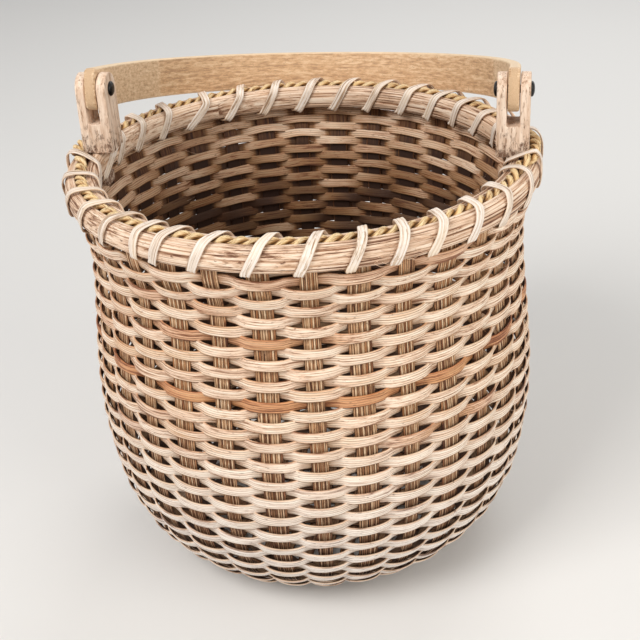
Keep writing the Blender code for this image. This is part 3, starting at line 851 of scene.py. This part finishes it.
lashing = {
    "width": 0.0061, "thick": 0.0012, "lift": 0.0007, "smooth": 5, "twiceGap": 21,
    # how far the wraps have slipped along the rim, as shares of a slot
    "slips": {2: -0.12, 4: -0.16, 5: -0.24, 6: -0.32, 7: -0.32, 8: -0.32, 9: -0.32, 10: -0.32, 11: -0.26,
              20: -0.12, 22: 0.24, 23: 0.30, 24: 0.30, 25: 0.26, 26: 0.10, 27: -0.10, 28: -0.18,
              29: -0.26, 30: -0.22},
    # across the strip, out of it, and how much painted shade: three ribs side by side, shaded at the edges,
    # in the hollows between ribs and on the back
    "section": ((-1.00, 0.00, 0.50), (-0.86, 0.85, 0.10), (-0.58, 1.00, 0.00), (-0.36, 0.70, 0.34),
                (-0.14, 1.00, 0.00), (0.14, 1.00, 0.00), (0.36, 0.70, 0.34), (0.58, 1.00, 0.00),
                (0.86, 0.85, 0.10), (1.00, 0.00, 0.50), (0.70, -0.90, 0.30), (0.00, -1.00, 0.30),
                (-0.70, -0.90, 0.30)),
    # shares of the way to the next wrap at ten places round the rim; from the turned place on
    # the strip leans all the way over
    "ways": (0.04, 0.15, 0.24, 0.33, 0.42, 0.51, 0.60, 0.86, 0.96, 1.02),
    "earWays": (0.0, -0.04, -0.08, -0.08, -0.08, -0.08, 0.05, 0.92, 0.96, 1.0), "turned": 7,
    "twiceBack": 0.10, "twicePlace": 0.86,
}


def lashWraps():
    # The place of each wrap in slots; one gap is wrapped twice
    wraps = []
    for gap in range(slots):
        wraps.append(gap + 0.5 + lashing["slips"].get(gap, 0.0))
        if gap == lashing["twiceGap"]:
            wraps[-1] -= lashing["twiceBack"]
            wraps.append(gap + lashing["twicePlace"])
    return wraps


def lashStations():
    # (angle, radius, height, facing in degrees, share of the width) along all the wraps
    lift = lashing["lift"]
    out = rimRadius + lift
    inside = innerBandIn - lift
    under = bandBottom - lift
    groove = rimTop - seagrass["depth"]
    stations = []
    places = lashWraps()
    for wrap, place in enumerate(places):
        after = places[wrap + 1] if wrap + 1 < len(places) else place + 1
        pace = (after - place) * slotAngle
        ways = lashing["earWays" if int(place + 1) % (slots // 2) == 0 else "ways"]
        loose = 0.0003 + 0.0005 * fuzz(wrap * 1.7, 5.0)
        for kind, share in enumerate(ways):
            way = share * (pace if kind >= lashing["turned"] else min(pace, slotAngle))
            angle = place * slotAngle + (way + 0.03 * fuzz(wrap * 3.1 + kind * 0.2, 8.0) * slotAngle)
            radius, height = ropePlace(angle)
            up = height - groove
            crest = height + seagrass["size"] / 2 + lift * 0.6 + loose
            spots = ((out - 0.0012, under + 0.0020, 10), (out + loose, (rimTop + bandBottom) / 2, 0),
                     (out - 0.0004 + loose, rimTop - 0.0030 + up, 15),
                     (max(radius + 0.0034, out - 0.0032), rimTop + 0.0016 + loose + up, 55),
                     (radius, crest, 90),
                     (innerBandIn + 0.0024, rimTop + 0.0012 + loose, 125),
                     (inside + 0.0002, rimTop - 0.0030, 165), (inside + 0.0012, under + 0.0020, 170),
                     (inside + 0.0040, under, 250), (out - 0.0042, under, 290))
            radius, height, faces = spots[kind]
            stations.append((angle, radius, height, wrap * 360 + faces, 1 + 0.12 * fuzz(wrap * 2.3, 2.0)))
    return stations


def through(stations, place):
    # Catmull-Rom reading of a list of number rows
    index = min(int(place), len(stations) - 2)
    share = place - index
    rows = [stations[min(max(index + step, 0), len(stations) - 1)] for step in (-1, 0, 1, 2)]
    return [0.5 * (2 * b + (c - a) * share + (2 * a - 5 * b + 4 * c - d) * share ** 2
                   + (3 * b - a - 3 * c + d) * share ** 3) for a, b, c, d in zip(*rows)]


def makeLashing():
    stations = lashStations()
    count = (len(stations) - 1) * lashing["smooth"]
    spots = [through(stations, step / lashing["smooth"]) for step in range(count + 1)]
    places = [around(radius, angle, height) for angle, radius, height, _, _ in spots]
    sections = []
    along = 0.0
    for index, (angle, _, _, faces, wide) in enumerate(spots):
        before = places[max(index - 1, 0)]
        after = places[min(index + 1, count)]
        along += (places[index] - before).length
        turn = radians(faces)
        across = (after - before).cross(around(cos(turn), angle, sin(turn))).normalized()
        face = across.cross(after - before).normalized()
        ring, values = [], []
        tone = 0.42 + 0.40 * fuzz(along * 9, 4.0)
        # Painted shade where the strip faces downward
        downShade = 0.3 * max(-sin(turn), 0.0)
        for offset, depth, dark in lashing["section"]:
            ring.append(places[index] + across * offset * lashing["width"] * wide / 2
                        + face * depth * lashing["thick"] / 2)
            values.append((along, offset * lashing["width"] / 2 + 3, tone, dark + downShade))
        sections.append((ring, values))
    dressReed("rim_lashing", "lash", sections)


makeLashing()
print("lashing made")


# Ears

ears = {
    "slot": 0.0080, "floorRise": 0.0200, "topMargin": 0.0105, "tangWidth": 0.0140,
    "footHeight": 0.0075, "footRise": 0.0032, "footRelief": 0.0014, "tangInset": 0.0008, "roundSteps": 16,
    # how far the blocks reach into each other before they are fused
    "overlap": 0.001, "tineOverlap": 0.002, "voxel": 0.00055, "smooth": 3, "softness": 0.6,
    "wearPace": 260, "wear": 0.00012, "lowWear": 0.00045, "lowFrom": 0.008, "lowReach": 0.010,
}


def addPrism(bm, outline, low, high, axis):
    # A flat outline pushed from low to high along X (outline in Y, Z) or Y (outline in X, Z)
    def place(one, two, reach):
        return (reach, one, two) if axis == "X" else (one, reach, two)
    lower = [bm.verts.new(place(one, two, low)) for one, two in outline]
    upper = [bm.verts.new(place(one, two, high)) for one, two in outline]
    bm.faces.new(lower)
    bm.faces.new(upper)
    for index in range(len(outline)):
        beside = (index + 1) % len(outline)
        bm.faces.new((lower[index], lower[beside], upper[beside], upper[index]))


def earBlocks(bm):
    # Body, two tines, tang between the bands and foot under the inner band
    half, tang = earDepth / 2, ears["tangWidth"] / 2
    shoulder = rimTop + clearance
    floor = rimTop + ears["floorRise"]
    low, lap = bandBottom - ears["footRise"], ears["overlap"]
    tine = [(half, floor - ears["tineOverlap"]), (half, pinHeight)]
    for step in range(1, ears["roundSteps"]):
        turn = pi * step / ears["roundSteps"]
        tine.append((half * cos(turn), pinHeight + ears["topMargin"] * sin(turn)))
    tine += [(-half, pinHeight), (-half, floor - ears["tineOverlap"])]
    tangIn = innerBandOut + clearance
    tangOut = wall["topRadius"] - ears["tangInset"]
    footTop = bandBottom - clearance
    footBottom = footTop - ears["footHeight"]
    addPrism(bm, [(-half, shoulder), (half, shoulder), (half, floor), (-half, floor)],
             earLow[0], earHigh[0], "X")
    addPrism(bm, tine, earLow[0], earMiddle - ears["slot"] / 2, "X")
    addPrism(bm, tine, earMiddle + ears["slot"] / 2, earHigh[0], "X")
    addPrism(bm, [(tangIn, low), (tangOut, low), (tangOut, shoulder + lap), (tangIn, shoulder + lap)],
             -tang, tang, "Y")
    addPrism(bm, [(innerBandIn, footBottom), (tangIn - ears["footRelief"], footBottom), (tangIn + lap, low),
                  (tangIn + lap, footTop + lap), (tangIn, footTop), (innerBandIn, footTop)],
             -tang, tang, "Y")


def makeEar(name, side):
    bm = bmesh.new()
    earBlocks(bm)
    bmesh.ops.recalc_face_normals(bm, faces=bm.faces)
    if side < 0:
        for vert in bm.verts:
            vert.co.x = -vert.co.x
        bmesh.ops.reverse_faces(bm, faces=bm.faces)
    piece = fromBmesh(name + "_wood", bm)
    remesh = piece.modifiers.new("one_block", "REMESH")
    remesh.mode = "VOXEL"
    remesh.voxel_size = ears["voxel"]
    soften = piece.modifiers.new("worn_edges", "SMOOTH")
    soften.factor = ears["softness"]
    soften.iterations = ears["smooth"]
    graph = bpy.context.evaluated_depsgraph_get()
    piece.data = bpy.data.meshes.new_from_object(piece.evaluated_get(graph))
    piece.modifiers.clear()
    moved = []
    for vert in piece.data.vertices:
        chip = noise.noise(vert.co * ears["wearPace"] + Vector((side * 9.0, 0.0, 0.0)))
        low = smoothShare((rimTop + ears["lowFrom"] - vert.co.z) / ears["lowReach"])
        moved.extend(vert.co + vert.normal * (ears["wear"] + ears["lowWear"] * low) * chip)
    piece.data.vertices.foreach_set("co", moved)
    dress(piece, "ear", "basket", "ear_wood", name)


makeEar("left_ear", -1)
makeEar("right_ear", 1)
print("ears made")


# Pins

pins = {
    "shaft": 0.0025, "head": 0.00475, "dome": 0.0022, "rim": 0.0004, "gap": 0.0001, "domePower": 0.9,
    "domeSteps": 8, "sides": 36, "weld": 0.000002,
}


def makePin(name, side):
    # Half the profile from the dome to the shaft, mirrored, then turned round X
    half = (earHigh[0] - earLow[0]) / 2 + pins["gap"]
    profile = [(0.0, half + pins["dome"])]
    for step in range(1, pins["domeSteps"] + 1):
        turn = pi / 2 * step / pins["domeSteps"]
        profile.append((pins["head"] * sin(turn) ** pins["domePower"],
                        half + pins["rim"] + (pins["dome"] - pins["rim"]) * cos(turn)))
    profile += [(pins["head"], half), (pins["shaft"], half - pins["gap"])]
    profile += [(radius, -reach) for radius, reach in reversed(profile)]
    bm = bmesh.new()
    verts = [bm.verts.new((reach, 0.0, radius)) for radius, reach in profile]
    edges = [bm.edges.new((one, two)) for one, two in zip(verts, verts[1:])]
    bmesh.ops.spin(bm, geom=verts + edges, cent=(0, 0, 0), axis=(1, 0, 0), angle=2 * pi,
                   steps=pins["sides"], use_merge=True)
    bmesh.ops.remove_doubles(bm, verts=bm.verts, dist=pins["weld"])
    bmesh.ops.recalc_face_normals(bm, faces=bm.faces)
    bmesh.ops.translate(bm, verts=bm.verts, vec=(side * earMiddle, 0.0, pinHeight))
    dress(fromBmesh(name + "_bolt", bm), "pin", "basket", "black_pin", name)


makePin("left_pin", -1)
makePin("right_pin", 1)
print("pins made")


# Handle

handle = {
    "width": 0.0265, "thick": 0.0070, "leg": 0.0180, "pastPin": 0.0110, "corner": 0.0055,
    "fullness": 2.15, "steps": 150, "rounding": 0.0013, "legSteps": 12, "edgeSteps": 4,
    # thinned tips, where the other wood is grafted on, and where the edges are worn
    "tipLength": 0.002, "tipThinning": 0.12, "graftFrom": 0.103, "graftBlur": 0.0012, "wornFrom": 0.004,
}


def handleFrame():
    # How far the bail reaches and how far it hangs down, from the frame's own solid
    middle = [vert.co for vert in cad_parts["handle"].data.vertices if abs(vert.co.x) < 0.002]
    far = sum((point for point in middle), Vector()) / len(middle)
    return hypot(far.y, far.z - pinHeight), atan2(pinHeight - far.z, far.y)


def handlePath(depth):
    # (across, out) along the bail, flat as it lies: two straight legs and a bow between them
    power = 2 / handle["fullness"]
    leg, past, steps = handle["leg"], handle["pastPin"], handle["legSteps"]
    path = [(earMiddle, -past + (leg + past) * step / steps) for step in range(steps)]
    for step in range(handle["steps"] + 1):
        turn = pi * step / handle["steps"]
        path.append((earMiddle * bulged(cos(turn), power), leg + (depth - leg) * abs(sin(turn)) ** power))
    return path + [(-across, out) for across, out in reversed(path[:steps])]


def handleRing(spot, way, along, end, lean):
    # A rounded oblong; end is the distance to the nearer tip
    inset = max(handle["corner"] - end, 0.0)
    narrow = handle["corner"] - sqrt(max(handle["corner"] ** 2 - inset ** 2, 0.0))
    half = handle["width"] / 2 - narrow
    tip, worn, edge = handle["tipLength"], handle["wornFrom"], handle["rounding"]
    thick = handle["thick"] / 2 * (1 - handle["tipThinning"] * smoothShare((tip - end) / tip))
    wood = 0.2 + 0.8 * smoothShare((handle["graftFrom"] - end) / handle["graftBlur"] + 0.5)
    side = Vector((way.y, -way.x, 0.0))
    ring, values = [], []
    for corner, (signX, signZ) in enumerate(((1, 1), (-1, 1), (-1, -1), (1, -1))):
        for step in range(handle["edgeSteps"]):
            turn = pi / 2 * (corner + step / (handle["edgeSteps"] - 1))
            x = signX * (thick - edge) + edge * cos(turn)
            z = signZ * (half - edge) + edge * sin(turn)
            point = Vector((*spot, 0.0)) + side * x + Vector((0.0, 0.0, z))
            ring.append(lean @ point + Vector((0.0, 0.0, pinHeight)))
            rim = smoothShare((abs(z) - half + edge * 1.3) / edge) * smoothShare((end - worn) / worn)
            values.append((along, z + (7.0 if x > 0 else 3.0), wood, 0.75 * rim))
    return ring, values


def makeHandle():
    depth, tilt = handleFrame()
    print("handle reach", round(depth, 4), "tilt", round(degrees(tilt), 2))
    path = handlePath(depth)
    marks = lengthsAlong(path)
    lean = Matrix.Rotation(-tilt, 3, "X")
    sections = []
    for index, (spot, along) in enumerate(zip(path, marks)):
        before = path[max(index - 1, 0)]
        after = path[min(index + 1, len(path) - 1)]
        way = Vector((after[0] - before[0], after[1] - before[1])).normalized()
        sections.append(handleRing(spot, way, along, min(along, marks[-1] - along), lean))
    dress(sweep("handle_bent_wood", sections), "handle", "handle", "handle_wood", "handle")


makeHandle()
print("handle made")


# Loose fibres

fibres = {
    "count": 90, "frays": 22, "seed": 8, "radius": 0.00017, "frayShare": 1.6, "steps": 7, "taper": 0.85,
    "curlPower": 1.6, "sideways": 0.18,
}


def strand(start, along, outward, length, curl, thick):
    # A thin tapering hair that leaves the surface
    side = along.cross(outward).normalized()
    sections = []
    for step in range(fibres["steps"] + 1):
        share = step / fibres["steps"]
        middle = start + along * length * share + outward * length * curl * share ** fibres["curlPower"]
        middle += side * length * fibres["sideways"] * sin(share * 3.0)
        reach = thick * (1 - fibres["taper"] * share)
        ring = [middle + side * reach * cos(turn) + outward * reach * sin(turn)
                for turn in (0.0, 2.09, 4.19)]
        sections.append((ring, [(length * share, 0.0, 0.35, 0.25)] * 3))
    return sweep("strand", sections)


def makeFibres():
    pick = random.Random(fibres["seed"])
    parts = []
    for index in range(fibres["count"]):
        # Two of three on the outside
        isOuter = index % 3 != 0
        way = pick.choice("ab")
        station = pick.uniform(20, 400 if isOuter else 190)
        points, _ = weaverRing(way, station, 1.0)
        nearby, _ = weaverRing(way, station + pick.choice((-0.4, 0.4)), 1.0)
        face = weavers["sides"] // 4 if isOuter else 3 * weavers["sides"] // 4
        start = points[face]
        along = (nearby[face] - start).normalized()
        outward = Vector((start.x, start.y, 0.0)).normalized() * (1 if isOuter else -1)
        along = (along + Vector((0, 0, pick.uniform(-0.5, 0.5)))).normalized()
        length = pick.uniform(0.006, 0.017 if isOuter else 0.028)
        parts.append(strand(start, along, outward, length, pick.uniform(0.08, 0.45), fibres["radius"]))
    for index in range(fibres["frays"]):
        angle = bands["scarfPlace"] + pick.uniform(-0.13, 0.06)
        height = pick.uniform(bandBottom + 0.002, rimTop - 0.002)
        start = around(rimRadius + 0.0001, angle, height)
        along = around(1.0, angle + pick.choice((-1, 1)) * pi / 2, pick.uniform(-0.3, 0.3)).normalized()
        parts.append(strand(start, along, around(1.0, angle, 0.0), pick.uniform(0.004, 0.010),
                            pick.uniform(0.10, 0.28), fibres["radius"] * fibres["frayShare"]))
    dress(joined("loose_fibres", parts), "weaver", "basket", "weaver_reed")


makeFibres()
print("loose fibres made")


# Camera, light and floor

view = {
    "azimuth": 11.61, "elevation": 20.02, "distance": 0.7743, "focal": 1187.4, "imageSize": 640,
    "aimRight": 0.36, "aimUp": -8.17, "roll": -3.36, "sensor": 36.0, "clipStart": 0.01,
}


def cameraAxes(ahead):
    right = ahead.cross(Vector((0.0, 0.0, 1.0))).normalized()
    return right, right.cross(ahead)


def makeCamera():
    turn, rise = radians(view["azimuth"]), radians(view["elevation"])
    reach = view["distance"]
    offset = Vector((reach * cos(rise) * sin(turn), -reach * cos(rise) * cos(turn),
                     reach * sin(rise)))
    ahead = -offset.normalized()
    right, above = cameraAxes(ahead)
    ahead = (ahead + right * tan(radians(view["aimRight"]))
             + above * tan(radians(view["aimUp"]))).normalized()
    right, above = cameraAxes(ahead)
    roll = radians(view["roll"])
    sideways = right * cos(roll) + above * sin(roll)
    upward = above * cos(roll) - right * sin(roll)
    camera = placed("camera", bpy.data.cameras.new("camera"))
    camera.data.sensor_width = view["sensor"]
    camera.data.lens = view["focal"] * view["sensor"] / view["imageSize"]
    camera.data.clip_start = view["clipStart"]
    pose = Matrix((sideways, upward, -ahead)).transposed().to_4x4()
    pose.translation = offset + Vector((0.0, 0.0, rimTop))
    camera.matrix_world = pose
    bpy.context.scene.camera = camera


lights = (
    {"name": "key", "place": (-0.9, -1.3, 1.7), "size": 1.1, "power": 34.0, "colour": (1.0, 0.97, 0.93)},
    {"name": "fill", "place": (1.5, -0.9, 0.9), "size": 1.4, "power": 17.0, "colour": (1.0, 0.96, 0.88)},
    {"name": "back", "place": (0.4, 1.5, 1.5), "size": 1.2, "power": 12.0, "colour": (1.0, 0.98, 0.95)},
)


studio = {
    "aim": (0.0, 0.0, 0.17), "lit": (1.0, 0.99, 0.97), "strength": 0.42, "shown": (0.86, 0.86, 0.86),
    "floorReach": 6.0, "floorDrop": 0.0002, "floorColour": (0.74, 0.74, 0.74), "floorRoughness": 0.9,
}


def makeLights():
    for light in lights:
        data = bpy.data.lights.new(light["name"], "AREA")
        data.size = light["size"]
        data.energy = light["power"]
        data.color = light["colour"]
        lamp = placed(light["name"], data)
        lamp.location = light["place"]
        aim = Vector(studio["aim"]) - Vector(light["place"])
        lamp.rotation_euler = aim.to_track_quat("-Z", "Y").to_euler()


def makeWorld():
    # Soft light all round; where it is seen or mirrored it shows as pale paper
    world = bpy.data.worlds.new("studio")
    bpy.context.scene.world = world
    tree = Tree(world, "Background")
    tree.set(Color=studio["lit"], Strength=studio["strength"])
    shown = tree.node("ShaderNodeBackground", inputs={"Color": studio["shown"]})
    path = tree.node("ShaderNodeLightPath", output="Is Camera Ray")
    seen = path
    for kind in ("Is Glossy Ray", "Is Transmission Ray"):
        seen = path.maths("MAXIMUM", seen, path.beside(kind))
    lit = Wire(tree, tree.shader.outputs[0])
    mixed = tree.node("ShaderNodeMixShader", inputs={0: seen, 1: lit, 2: shown})
    tree.feed(tree.nodes["World Output"].inputs["Surface"], mixed)


def makeFloor():
    reach, height = studio["floorReach"], -studio["floorDrop"]
    mesh = bpy.data.meshes.new("floor")
    corners = ((-reach, -reach), (reach, -reach), (reach, reach), (-reach, reach))
    mesh.from_pydata([(x, y, height) for x, y in corners], [], [(0, 1, 2, 3)])
    floor = placed("floor", mesh)
    tree = newMaterial("floor_paper", studio["floorRoughness"])
    tree.set(Base_Color=studio["floorColour"])
    mesh.materials.append(tree.owner)


makeCamera()
makeLights()
makeWorld()
makeFloor()
bpy.context.scene.view_settings.view_transform = "Standard"
print("stage made")
